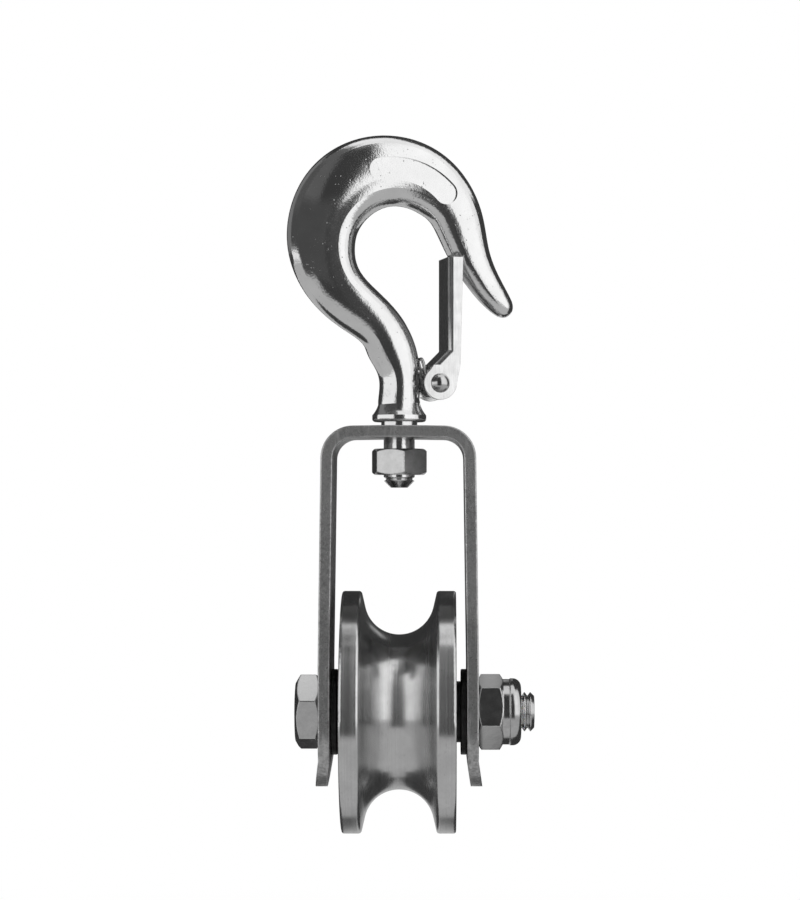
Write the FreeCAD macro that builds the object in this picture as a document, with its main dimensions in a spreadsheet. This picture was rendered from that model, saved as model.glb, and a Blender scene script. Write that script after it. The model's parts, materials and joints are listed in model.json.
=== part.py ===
import FreeCAD, Part
import math
import os
import Sketcher
from FreeCAD import Placement, Rotation, Vector

# Swivel hook pulley: a cast safety hook turns in a bent strip bracket, and a grooved wheel
# turns on two ball bearings on the bolt that crosses the bracket.
# Frame: origin at the seat of the hook, on the swivel axis. +Z is up, the axle runs along X.

# Driving dimensions in millimetres and degrees
SIZES = {
    # hook, drawn in its own plane: across = along the plane, up = along the swivel axis
    "hook_yaw": 13.5,
    "seat_radius": 11.4,
    "seat_across": -0.4,
    "back_radius": 26.0,
    "back_across": -3.3,
    "back_up": -7.8,
    "limb_out_radius": 30.55,
    "limb_out_across": 53.3,
    "limb_out_up": -2.9,
    "limb_in_radius": 91.8,
    "limb_in_across": 15.1,
    "limb_in_up": -16.15,
    "limb_in_lean": 215,
    "limb_fan_across": 62.0,
    "limb_fan_up": 8.0,
    "neck_out_radius": 20.6,
    "neck_out_drop": 48.4,
    "neck_in_radius": 26.4,
    "neck_in_drop": 43.9,
    "neck_wide": 10.7,
    "back_thick": 12.4,
    "crown_thick": 11.4,
    "limb_thick": 8.6,
    "tip_thick": 6.4,
    "oval_turn": 70,
    "oval_lean": 12,
    "pad_inner": 15.3,
    "pad_outer": 21.3,
    "pad_start": 43,
    "pad_end": 102,
    "pad_deep": 1.0,
    "pad_tilt": 1.6,
    "pad_up": -9.2,
    "pad_across": -2.2,
    # collar, shank and swivel nut
    "collar_top": 49.1,
    "collar_wide": 13.9,
    "collar_bottom": 55.5,
    "flare_radius": 7.0,
    "flare_bite": 0.2,
    "neck_root_deep": 2.5,
    "collar_edge": 0.8,
    "shoulder_wide": 9.3,
    "shoulder_tall": 1.1,
    "shank_wide": 8.0,
    "shank_core": 6.8,
    "shank_point": 1.2,
    "shank_pitch": 1.25,
    "shank_end": 72.4,
    "thread_turns": 2,
    "swivel_nut_wide": 13.0,
    "swivel_nut_face": 12.5,
    "swivel_nut_tall": 6.7,
    "swivel_nut_top": 62.4,
    "swivel_nut_turn": 40.8,
    # latch, its lug, rivet and spring
    "pivot_across": 9.5,
    "pivot_drop": 45.6,
    "lug_radius": 3.6,
    "lug_thick": 4.0,
    "rivet_wide": 3.0,
    "rivet_head_wide": 5.0,
    "rivet_head_tall": 1.5,
    "rivet_gap": 0.05,
    "latch_side_gap": 0.12,
    "latch_web_across": 11.65,
    "latch_top": 13.2,
    "latch_top_deep": 3.85,
    "latch_low_deep": 3.1,
    "latch_bend_drop": 37.0,
    "latch_heel": 5.6,
    "latch_inside": 9.6,
    "latch_metal": 1.2,
    "latch_ear": 4.3,
    "latch_bend_radius": 1.3,
    "spring_wire": 0.9,
    "spring_coil": 4.5,
    "spring_turns": 1.672,
    "spring_pitch": 1.0,
    "spring_gap": 0.1,
    "spring_leg": 4.0,
    "spring_bridge": 6.3,
    # bracket
    "strip_metal": 3.0,
    "strip_wide": 30.0,
    "bracket_top": 56.7,
    "bracket_shoulder_half": 19.5,
    "bracket_bow": 0.35,
    "bracket_bend_inner": 5.2,
    "swivel_gap": 0.08,
    "leg_gap_half": 17.3,
    "leg_end_flat": 0.4,
    "leg_end_drop": 19.1,
    "leg_kick": 1.1,
    "leg_flat_above": 2.0,
    "leg_flat_below": 0.5,
    "leg_edge": 0.35,
    "axle_hole_gap": 0.1,
    # axle bolt and lock nut
    "axle_drop": 130.1,
    "axle_wide": 10.0,
    "axle_core": 8.4,
    "axle_pitch": 1.5,
    "axle_length": 55.0,
    "axle_chamfer": 0.9,
    "hex_wide": 17.0,
    "head_tall": 6.3,
    "head_turn": 20.5,
    "head_face": 15.0,
    "head_seat": 16.3,
    "lock_hex_tall": 6.4,
    "lock_tall": 11.0,
    "lock_turn": 43.0,
    "lock_face": 16.6,
    "lock_seat": 16.9,
    "lock_collar_wide": 17.2,
    "lock_collar_round": 2.1,
    "lock_waist": 0.2,
    "lock_waist_long": 1.6,
    "lock_lip_thick": 0.6,
    "lock_lip_deep": 0.9,
    "insert_wide": 13.4,
    "insert_tall": 2.6,
    # wheel
    "wheel_wide": 62.2,
    "wheel_thick": 29.2,
    "groove_radius": 9.0,
    "groove_floor": 19.9,
    "groove_flare": 13.0,
    "rim_edge": 0.6,
    "rim_lip": 0.8,
    "bore_middle": 26.0,
    # bearings, spacers and washers
    "bearing_wide": 30.0,
    "bearing_thick": 9.0,
    "ball_wide": 4.763,
    "ball_count": 8,
    "ball_gap": 0.02,
    "race_shoulder": 1.75,
    "race_edge": 0.4,
    "seal_thick": 0.6,
    "seal_sunk": 0.2,
    "seal_gap": 0.08,
    "cage_thick": 0.8,
    "cage_tall": 6.4,
    "cage_pocket_gap": 0.1,
    "inner_tube_wide": 14.0,
    "spacer_wide": 15.7,
    "spacer_thick": 1.2,
    "washer_wide": 22.0,
    "washer_edge": 0.25,
}

doc = FreeCAD.newDocument("swivel_hook_pulley")
sheet = doc.addObject("Spreadsheet::Sheet", "sizes")
for row, (alias, number) in enumerate(SIZES.items(), start=1):
    sheet.set(f"A{row}", alias)
    sheet.set(f"B{row}", str(number))
    sheet.setAlias(f"B{row}", alias)
doc.recompute()

# Shares of a thread's pitch: half its groove at the mouth, and at the root
THREAD_MOUTH = 0.48
THREAD_ROOT = 0.06

# The balls run midway between the axle and the bearing's rim
BALL_CIRCLE = "(bearing_wide + axle_wide) / 2"

TOP_VIEW = "XY_Plane"
FRONT_VIEW = "XZ_Plane"
SIDE_VIEW = "YZ_Plane"


def cell(text):
    """Turn the sheet's aliases in a formula into references to its cells."""
    words = []
    word = ""
    for letter in text + " ":
        if letter.isalnum() or letter == "_":
            word += letter
            continue
        words.append(f"sizes.{word}" if word in SIZES else word)
        words.append(letter)
        word = ""
    return "".join(words).strip()


def value(text):
    """Work out a formula of the sheet's aliases."""
    return float(sheet.evalExpression(cell(text)))


def bind(thing, prop, text):
    """Bind a property to a formula of the sheet's aliases."""
    thing.setExpression(prop, cell(text))


def new_body(label, across="0", up="0", turn=None):
    """Add a body whose place, and turn about the swivel axis, follow the sheet."""
    body = doc.addObject("PartDesign::Body", label)
    body.Label = label
    if turn is not None:
        body.Placement = Placement(Vector(0, 0, 0), Rotation(Vector(0, 0, 1), value(turn)))
        bind(body, "Placement.Rotation.Angle", turn)
    for side, text in (("x", across), ("z", up)):
        bind(body, f"Placement.Base.{side}", text)
    return body


def new_sketch(body, name, view, along="0"):
    """Add a sketch on one of the body's origin planes, moved along its normal."""
    sketch = body.newObject("Sketcher::SketchObject", name)
    plane = next(item for item in body.Origin.OriginFeatures if item.Role == view)
    sketch.AttachmentSupport = [(plane, "")]
    sketch.MapMode = "FlatFace"
    if along != "0":
        bind(sketch, "AttachmentOffset.Base.z", along)
    return sketch


def bend(start, end, radius):
    """Centre of the arc from start to end: a positive radius turns left, a negative one right."""
    half = (end - start) * 0.5
    side = Vector(-half.y, half.x, 0).normalize()
    rise = math.sqrt(max(radius * radius - half.Length ** 2, 0.0))
    return start + half + side * math.copysign(rise, radius)


def outline(sketch, points, arcs=None):
    """Draw a closed outline through points given as formulas; arcs maps a side to its radius."""
    arcs = arcs or {}
    places = [Vector(value(across), value(up), 0) for across, up in points]
    count = len(points)
    first = len(sketch.Geometry)
    start_pin = {}
    for side in range(count):
        start = places[side]
        end = places[(side + 1) % count]
        if side not in arcs:
            sketch.addGeometry(Part.LineSegment(start, end), False)
            start_pin[side] = (1, 2)
            continue
        radius = value(arcs[side])
        centre = bend(start, end, radius)
        angles = [math.atan2(spot.y - centre.y, spot.x - centre.x) for spot in (start, end)]
        if radius < 0:
            angles.reverse()
        if angles[1] < angles[0]:
            angles[1] += 2 * math.pi
        circle = Part.Circle(centre, Vector(0, 0, 1), abs(radius))
        sketch.addGeometry(Part.ArcOfCircle(circle, angles[0], angles[1]), False)
        start_pin[side] = (1, 2) if radius > 0 else (2, 1)
    for side in range(count):
        after = (side + 1) % count
        joint = Sketcher.Constraint("Coincident", first + side, start_pin[side][1],
                                    first + after, start_pin[after][0])
        sketch.addConstraint(joint)
    for side, (across, up) in enumerate(points):
        pin = start_pin[side][0]
        for kind, text, number in (("DistanceX", across, places[side].x),
                                   ("DistanceY", up, places[side].y)):
            place = Sketcher.Constraint(kind, -1, 1, first + side, pin, number)
            index = sketch.addConstraint(place)
            bind(sketch, f"Constraints[{index}]", text)
    for side, text in arcs.items():
        size = Sketcher.Constraint("Radius", first + side, abs(value(text)))
        index = sketch.addConstraint(size)
        bind(sketch, f"Constraints[{index}]", f"abs({text})")


def ring(sketch, wide, across="0", up="0"):
    """Draw a circle of the given diameter."""
    circle = Part.Circle(Vector(value(across), value(up), 0), Vector(0, 0, 1), value(wide) / 2)
    side = sketch.addGeometry(circle, False)
    size = sketch.addConstraint(Sketcher.Constraint("Diameter", side, value(wide)))
    bind(sketch, f"Constraints[{size}]", wide)
    for kind, text in (("DistanceX", across), ("DistanceY", up)):
        place = sketch.addConstraint(Sketcher.Constraint(kind, -1, 1, side, 3, value(text)))
        bind(sketch, f"Constraints[{place}]", text)


def hexagon(sketch, wide):
    """Draw a regular hexagon of the given width across its flats, one corner on the X axis."""
    corners = [(f"({wide}) / sqrt(3) * cos({step * 60})", f"({wide}) / sqrt(3) * sin({step * 60})")
               for step in range(6)]
    outline(sketch, corners)


def pad(body, sketch, name, long, both=False, back=False):
    """Raise a sketch into a solid."""
    block = body.newObject("PartDesign::Pad", name)
    block.Profile = sketch
    block.Midplane = both
    block.Reversed = back
    bind(block, "Length", long)
    return block


def pocket(body, sketch, name, deep=None, both=False, back=False):
    """Cut a sketch out of the body, to a depth or right through."""
    cut = body.newObject("PartDesign::Pocket", name)
    cut.Profile = sketch
    cut.Midplane = both
    cut.Reversed = back
    if deep is None:
        cut.Type = "ThroughAll"
    else:
        bind(cut, "Length", deep)
    return cut


def turn_about(body, sketch, name, axis, cut=False):
    """Turn a sketch about its own axis, adding or cutting."""
    kind = "PartDesign::Groove" if cut else "PartDesign::Revolution"
    solid = body.newObject(kind, name)
    solid.Profile = sketch
    solid.ReferenceAxis = (sketch, [axis])
    solid.Angle = 360
    return solid


def edges_where(feature, test):
    """Names of the feature's edges whose middle point and edge pass the test."""
    doc.recompute()
    found = []
    for index, edge in enumerate(feature.Shape.Edges, start=1):
        middle = edge.valueAt((edge.FirstParameter + edge.LastParameter) / 2)
        if test(middle, edge):
            found.append(f"Edge{index}")
    return found


def soften(body, feature, name, size, test, flat=False):
    """Round, or bevel, the edges of a feature that pass the test."""
    kind = "PartDesign::Chamfer" if flat else "PartDesign::Fillet"
    edge = body.newObject(kind, name)
    edge.Base = (feature, edges_where(feature, test))
    bind(edge, "Size" if flat else "Radius", size)
    return edge


def repeat_line(body, feature, name, sketch, axis, step, count, back=False):
    """Repeat a feature along a sketch axis."""
    doc.recompute()
    row = body.newObject("PartDesign::LinearPattern", name)
    row.Originals = [feature]
    row.Direction = (sketch, [axis])
    row.Reversed = back
    bind(row, "Length", f"({step}) * (({count}) - 1)")
    bind(row, "Occurrences", count)
    body.Tip = row
    return row


def reach(fan, circle, angle):
    """Distance from a fan's centre to a circle round it, along an angle."""
    step_across = f"(({circle[0]}) - ({fan[0]}))"
    step_up = f"(({circle[1]}) - ({fan[1]}))"
    along = f"({step_across} * cos({angle}) + {step_up} * sin({angle}))"
    apart = f"({step_across} * {step_across} + {step_up} * {step_up})"
    radius = f"({circle[2]})"
    return f"({along} + sqrt({radius} * {radius} - {apart} + {along} * {along}))"


def oval_section(body, name, fan, angle, near, far, half_thick, lean=1.0, shrink=1.0):
    """Draw a four-arc egg between two distances of a fan line, fuller on the throat's side."""
    sketch = body.newObject("Sketcher::SketchObject", name)
    plane = next(item for item in body.Origin.OriginFeatures if item.Role == FRONT_VIEW)
    sketch.AttachmentSupport = [(plane, "")]
    sketch.MapMode = "FlatFace"
    middle = f"(({near}) + ({far})) / 2"
    turned = Rotation(Vector(0, 0, 1), value(angle)) * Rotation(Vector(1, 0, 0), 90)
    across = f"({fan[0]}) + ({middle}) * cos({angle})"
    up = f"({fan[1]}) + ({middle}) * sin({angle})"
    sketch.AttachmentOffset = Placement(Vector(value(across), value(up), 0), turned)
    bind(sketch, "AttachmentOffset.Base.x", across)
    bind(sketch, "AttachmentOffset.Base.y", up)
    # Each end's arc meets the face arcs where both stand at that end's turn from the long axis
    throat = f"(oval_turn + oval_lean * {lean})"
    rear = f"(oval_turn - oval_lean * {lean})"
    half_wide = f"(abs(({far}) - ({near})) / 2 * {shrink})"
    half_thick = f"(({half_thick}) * {shrink})"
    drop = f"(2 * ({half_wide} - {half_thick}) / (2 - tan({throat} / 2) - tan({rear} / 2)))"
    face = f"({half_thick} + {drop})"
    shift = f"({drop} * (tan({throat} / 2) - tan({rear} / 2)) / 2)"
    corners = [(f"{shift} + {face} * cos({throat})", f"{drop} - {face} * sin({throat})"),
               (f"{shift} + {face} * cos({throat})", f"{face} * sin({throat}) - {drop}"),
               (f"{shift} - {face} * cos({rear})", f"{face} * sin({rear}) - {drop}"),
               (f"{shift} - {face} * cos({rear})", f"{drop} - {face} * sin({rear})")]
    outline(sketch, corners, {0: f"{face} - {drop} / sin({throat})", 1: face,
                              2: f"{face} - {drop} / sin({rear})", 3: face})
    return sketch


def thread_rings(body, name, axis_view, core, outer, pitch, start, count, along_x):
    """Cut ring grooves of a thread's profile, one pitch apart, near a shaft's end."""
    sketch = new_sketch(body, f"{name}_profile", axis_view)
    deep = f"({core}) / 2"
    clear = f"({outer}) / 2 + 0.1"
    slant = f"({pitch}) * {THREAD_MOUTH}"
    tip = f"({pitch}) * {THREAD_ROOT}"
    marks = [(f"({start}) - {slant}", clear), (f"({start}) - {tip}", deep),
             (f"({start}) + {tip}", deep), (f"({start}) + {slant}", clear)]
    if not along_x:
        marks = [(far, along) for along, far in marks]
    outline(sketch, marks)
    axis = "H_Axis" if along_x else "V_Axis"
    cut = turn_about(body, sketch, name, axis, cut=True)
    return repeat_line(body, cut, f"{name}_row", sketch, axis, pitch, count)


def bevel_hexagon(body, name, wide, face, at, inwards, along_x=True):
    """Cut a hexagon's corners back to a cone that leaves a round face at a place on its axis."""
    sketch = new_sketch(body, f"{name}_profile", FRONT_VIEW)
    clear = f"({wide}) / sqrt(3) + 1"
    far = f"({at}) {inwards} ({clear} - ({face}) / 2) * tan(30)"
    points = [(at, f"({face}) / 2"), (far, clear), (at, clear)]
    if not along_x:
        points = [(out, along) for along, out in points]
    outline(sketch, points)
    turn_about(body, sketch, name, "H_Axis" if along_x else "V_Axis", cut=True)
    doc.recompute()


def make_hook():
    """The cast hook: lofted bowl, limb and neck, turned collar and shank, latch lug."""
    body = new_body("hook", turn="hook_yaw")
    seat = ("seat_across", "0 - seat_radius")
    back = ("back_across", "back_up", "back_radius")
    limb_fan = ("limb_fan_across", "limb_fan_up")
    limb_out = ("limb_out_across", "limb_out_up", "limb_out_radius")
    limb_in = ("limb_in_across - limb_in_radius * cos(limb_in_lean)",
               "limb_in_up - limb_in_radius * sin(limb_in_lean)", "limb_in_radius")
    neck_fan = ("neck_wide / 2 - neck_in_radius", "0 - neck_in_drop")
    neck_out = ("0 - neck_wide / 2 - neck_out_radius", "0 - neck_out_drop", "neck_out_radius")

    def mix(first, last, share):
        return f"(({first}) + (({last}) - ({first})) * {share}) / 2"

    sections = []
    # Angle of each limb section, its share of the limb's thickness, and how the end rounds off
    limb = ((227.3, 0.0, 0.14), (227.0, 0.0, 0.36), (226.3, 0.0, 0.56), (225.0, 0.0, 0.74),
            (222.8, 0.05, 0.87), (219.6, 0.15, 0.96), (215.2, 0.35, 1), (211.0, 0.65, 1),
            (207.2, 0.9, 1))
    for index, (angle, share, shrink) in enumerate(limb):
        near = reach(limb_fan, limb_in, str(angle))
        far = reach(limb_fan, limb_out, str(angle))
        thick = mix("tip_thick", "limb_thick", share)
        name = f"limb_{index}"
        section = oval_section(body, name, limb_fan, str(angle), far, near, thick, 0.8, shrink)
        sections.append(section)
    # Angle of each bowl section, two sizes and the share between them, and how far the egg leans
    bowl = ((24, "limb_thick", "crown_thick", 0.45, 0.7), (52, "limb_thick", "crown_thick", 0.85, 0.5),
            (84, "crown_thick", "crown_thick", 1, 0.5), (118, "crown_thick", "back_thick", 0.6, 0.7),
            (152, "back_thick", "back_thick", 1, 1), (186, "back_thick", "back_thick", 1, 1),
            (214, "back_thick", "neck_wide", 0.35, 0.8))
    for index, (angle, first, last, share, lean) in enumerate(bowl):
        far = reach(seat, back, str(angle))
        thick = mix(first, last, share)
        section = oval_section(body, f"bowl_{index}", seat, str(angle - 180), f"0 - {far}",
                               "0 - seat_radius", thick, lean)
        sections.append(section)
    for index, (angle, share, lean) in enumerate(((44, 0.75, 0.5), (28, 0.9, 0.25), (12, 1.0, 0.1))):
        far = reach(neck_fan, neck_out, str(angle))
        thick = mix("back_thick", "neck_wide", share)
        section = oval_section(body, f"neck_{index}", neck_fan, str(angle), far, "neck_in_radius",
                               thick, lean)
        sections.append(section)
    axis_fan = ("0", "0 - collar_top")
    root_fan = ("0", "0 - collar_top - neck_root_deep")
    half_neck = "neck_wide / 2"
    for name, fan in (("neck_end", axis_fan), ("neck_root", root_fan)):
        section = oval_section(body, name, fan, "0", f"0 - {half_neck}", half_neck, half_neck, 0)
        sections.append(section)
    doc.recompute()
    shell = body.newObject("PartDesign::AdditiveLoft", "bowl_and_neck")
    shell.Profile = sections[0]
    shell.Sections = sections[1:]
    shell.Ruled = False
    doc.recompute()
    profile = new_sketch(body, "shank_profile", FRONT_VIEW)
    half = "collar_wide / 2"
    flare_start = "(neck_wide / 2 - flare_bite)"
    flare_drop = f"sqrt(flare_radius^2 - (flare_radius + {flare_start} - {half})^2)"
    outline(profile, [
        ("0", "0 - collar_top"),
        (flare_start, "0 - collar_top"),
        (half, f"0 - collar_top - {flare_drop}"),
        (half, "0 - collar_bottom + collar_edge"),
        (f"{half} - collar_edge", "0 - collar_bottom"),
        ("shoulder_wide / 2", "0 - collar_bottom"),
        ("shoulder_wide / 2", "0 - collar_bottom - shoulder_tall"),
        ("shank_wide / 2", "0 - collar_bottom - shoulder_tall"),
        ("shank_wide / 2", "0 - shank_end + (shank_wide - shank_core) / 2 + shank_point"),
        ("shank_core / 2 - shank_point", "0 - shank_end"),
        ("0", "0 - shank_end"),
    ], {1: "flare_radius", 3: "0 - collar_edge"})
    shank = turn_about(body, profile, "collar_and_shank", "V_Axis")
    doc.recompute()
    start = "0 - shank_end + shank_pitch * 0.75"
    thread_rings(body, "shank_thread", FRONT_VIEW, "shank_core", "shank_wide", "shank_pitch", start,
                 "thread_turns", False)

    lug = new_sketch(body, "lug_profile", FRONT_VIEW)
    outline(lug, [
        ("pivot_across - lug_radius * cos(30)", "0 - pivot_drop + lug_radius * sin(30)"),
        ("neck_wide * 0.25", "0 - pivot_drop + lug_radius * sin(30)"),
        ("neck_wide * 0.25", "0 - pivot_drop - lug_radius"),
        ("pivot_across", "0 - pivot_drop - lug_radius"),
        ("pivot_across + lug_radius", "0 - pivot_drop"),
        ("pivot_across", "0 - pivot_drop + lug_radius"),
    ], {3: "lug_radius", 4: "lug_radius", 5: "lug_radius"})
    pad(body, lug, "latch_lug", "lug_thick", both=True)
    hole = new_sketch(body, "rivet_hole_profile", FRONT_VIEW)
    ring(hole, "rivet_wide", "pivot_across", "0 - pivot_drop")
    doc.recompute()
    pocket(body, hole, "rivet_hole", "lug_thick + 2", both=True)

    # Shallow bare recess on the front face, a curved slot with round ends
    slot = new_sketch(body, "pad_profile", FRONT_VIEW)
    level = "crown_thick / 2 - pad_deep"
    slot.AttachmentOffset = Placement(Vector(0, 0, value(level)),
                                      Rotation(Vector(0, 1, 0), value("pad_tilt")))
    bind(slot, "AttachmentOffset.Base.z", level)
    bind(slot, "AttachmentOffset.Rotation.Angle", "pad_tilt")

    def spot(radius, angle):
        return (f"pad_across + {radius} * cos({angle})", f"pad_up + {radius} * sin({angle})")

    end_round = "(pad_outer - pad_inner) / 2"
    outline(slot, [spot("pad_outer", "pad_start"), spot("pad_outer", "pad_end"),
                   spot("pad_inner", "pad_end"), spot("pad_inner", "pad_start")],
            {0: "pad_outer", 1: end_round + " + 0.0001", 2: "0 - pad_inner",
             3: end_round + " + 0.0001"})
    doc.recompute()
    pocket(body, slot, "face_recess", "3", back=True)
    return body


def make_nut(label, wide, face_wide, tall, bore, top, turn):
    """A bevelled hexagon nut on the swivel axis."""
    body = new_body(label, up=f"0 - ({top}) - ({tall})", turn=turn)
    face = new_sketch(body, f"{label}_hexagon", TOP_VIEW)
    hexagon(face, wide)
    pad(body, face, f"{label}_block", tall)
    doc.recompute()
    hole = new_sketch(body, f"{label}_bore_profile", TOP_VIEW)
    ring(hole, bore)
    pocket(body, hole, f"{label}_bore", f"({tall}) + 1", back=True)
    doc.recompute()
    bevel_hexagon(body, f"{label}_upper_bevel", wide, face_wide, tall, "-", along_x=False)
    bevel_hexagon(body, f"{label}_lower_bevel", wide, face_wide, "0", "+", along_x=False)
    return body


def make_latch():
    """The folded sheet latch: a web towards the throat and two flanges that straddle the limb."""
    body = new_body("latch", turn="hook_yaw")
    low_edge = "latch_web_across + latch_low_deep"
    heel_across = "latch_web_across - latch_heel * cos(45)"
    heel_up = "0 - latch_bend_drop - latch_heel * sin(45)"
    ear_up = "0 - pivot_drop"
    profile = new_sketch(body, "latch_profile", FRONT_VIEW)
    outline(profile, [
        ("latch_web_across", "0 - latch_top"),
        ("latch_web_across", "0 - latch_bend_drop"),
        (heel_across, heel_up),
        (low_edge, heel_up),
        ("latch_web_across + latch_top_deep", "0 - latch_top"),
    ])
    wide = "latch_inside + 2 * latch_metal"
    block = pad(body, profile, "latch_block", wide, both=True)
    heel_level = value(heel_up)

    def web_edge(middle, edge):
        lengthways = edge.BoundBox.YLength < 0.01 and middle.x < value("latch_web_across") + 0.01
        return lengthways and middle.z > heel_level + 0.1

    folded = soften(body, block, "latch_folds", "latch_bend_radius", web_edge)
    doc.recompute()
    ears = new_sketch(body, "latch_ear_profile", FRONT_VIEW)
    outline(ears, [
        (heel_across, heel_up),
        ("pivot_across + latch_ear * cos(130)", f"{ear_up} + latch_ear * sin(130)"),
        ("pivot_across", f"{ear_up} - latch_ear"),
        ("pivot_across + latch_ear", ear_up),
        (low_edge, heel_up),
    ], {1: "latch_ear", 2: "latch_ear"})
    pad(body, ears, "latch_ears", wide, both=True)
    doc.recompute()
    corner_drop = "(0 - latch_bend_drop - latch_metal * tan(22.5))"
    shift = "latch_metal * cos(45)"
    hollow = new_sketch(body, "latch_hollow_profile", FRONT_VIEW)
    outline(hollow, [
        ("latch_web_across + latch_metal", "2 - latch_top"),
        ("latch_web_across + latch_metal", corner_drop),
        (f"{heel_across} + {shift}", f"{heel_up} - {shift}"),
        (f"{heel_across} - 2 * {shift}", f"{heel_up} + 2 * {shift}"),
        (f"{heel_across} - 3", f"{heel_up} + 2 * {shift}"),
        (f"{heel_across} - 3", f"{ear_up} - latch_ear - 1"),
        ("latch_web_across + latch_top_deep + 3", f"{ear_up} - latch_ear - 1"),
        ("latch_web_across + latch_top_deep + 3", "2 - latch_top"),
    ])
    pocket(body, hollow, "latch_hollow", "latch_inside", both=True)
    doc.recompute()
    hole = new_sketch(body, "latch_hole_profile", FRONT_VIEW)
    ring(hole, "rivet_wide + 2 * rivet_gap", "pivot_across", ear_up)
    pocket(body, hole, "latch_hole", "latch_inside + 2 * latch_metal + 2", both=True)
    return body


def make_rivet():
    """The latch rivet, domed at both ends, drawn about its own axis and laid across the hook."""
    body = new_body("latch_rivet", turn="hook_yaw")
    inner = "latch_inside / 2 + latch_metal + latch_side_gap"
    profile = new_sketch(body, "rivet_profile", SIDE_VIEW, along="pivot_across")
    base = "0 - pivot_drop"
    half = "rivet_head_wide / 2"
    dome = f"(({half})^2 + rivet_head_tall^2) / (2 * rivet_head_tall)"
    outline(profile, [
        (f"0 - ({inner}) - rivet_head_tall", base),
        (f"{inner} + rivet_head_tall", base),
        (inner, f"{base} + {half}"),
        (inner, f"{base} + rivet_wide / 2"),
        (f"0 - ({inner})", f"{base} + rivet_wide / 2"),
        (f"0 - ({inner})", f"{base} + {half}"),
    ], {1: dome, 5: dome})
    solid = body.newObject("PartDesign::Revolution", "rivet_solid")
    solid.Profile = profile
    solid.ReferenceAxis = (profile, ["Edge1"])
    solid.Angle = 360
    return body


def make_spring():
    """The latch spring: two coils on the rivet, legs against the latch's heel, a bridge on the neck."""
    wire = value("spring_wire / 2")
    coil = value("spring_coil / 2")
    pitch = value("spring_pitch")
    start_out = value("lug_thick / 2 + spring_wire / 2 + spring_gap")
    turned = math.radians(180 + 360 * value("spring_turns"))
    neck = value("neck_wide / 2 - pivot_across + spring_wire / 2 + spring_gap")
    bridge = Vector(neck, -start_out, value("spring_bridge"))

    def rod(start, end):
        line = end - start
        return Part.makeCylinder(wire, line.Length, start, line)

    # The front half is built and mirrored: its coil starts beside the lug, on the neck's side
    helix = Part.makeHelix(pitch, pitch * value("spring_turns"), coil)
    facing = Rotation(Vector(-1, 0, 0), Vector(0, 0, -1), Vector(0, -1, 0), "XYZ")
    helix.Placement = Placement(Vector(0, -start_out, 0), facing)
    path = Part.Wire(helix.Edges)
    near = Vector(-coil, -start_out, 0)
    far = Vector(coil * math.cos(turned), -start_out - pitch * value("spring_turns"),
                 coil * math.sin(turned))
    leg_end = far + Vector(-math.sin(turned), 0, math.cos(turned)) * value("spring_leg")
    section = Part.Wire(Part.Circle(near, Vector(0, 0, 1), wire).toShape())
    half = [path.makePipeShell([section], True, False)]
    half += [rod(near, bridge), rod(far, leg_end)]
    half += [Part.makeSphere(wire, spot) for spot in (near, far, bridge, leg_end)]
    front = half[0].fuse(half[1:])
    back = front.mirror(Vector(0, 0, 0), Vector(0, 1, 0))
    middle = rod(bridge, Vector(bridge.x, -bridge.y, bridge.z))
    spring = doc.addObject("Part::Feature", "latch_spring")
    spring.Label = "latch_spring"
    spring.Shape = front.fuse([back, middle])
    turned = Rotation(Vector(0, 0, 1), value("hook_yaw"))
    place = turned.multVec(Vector(value("pivot_across"), 0, value("0 - pivot_drop")))
    spring.Placement = Placement(place, turned)
    return spring


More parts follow.
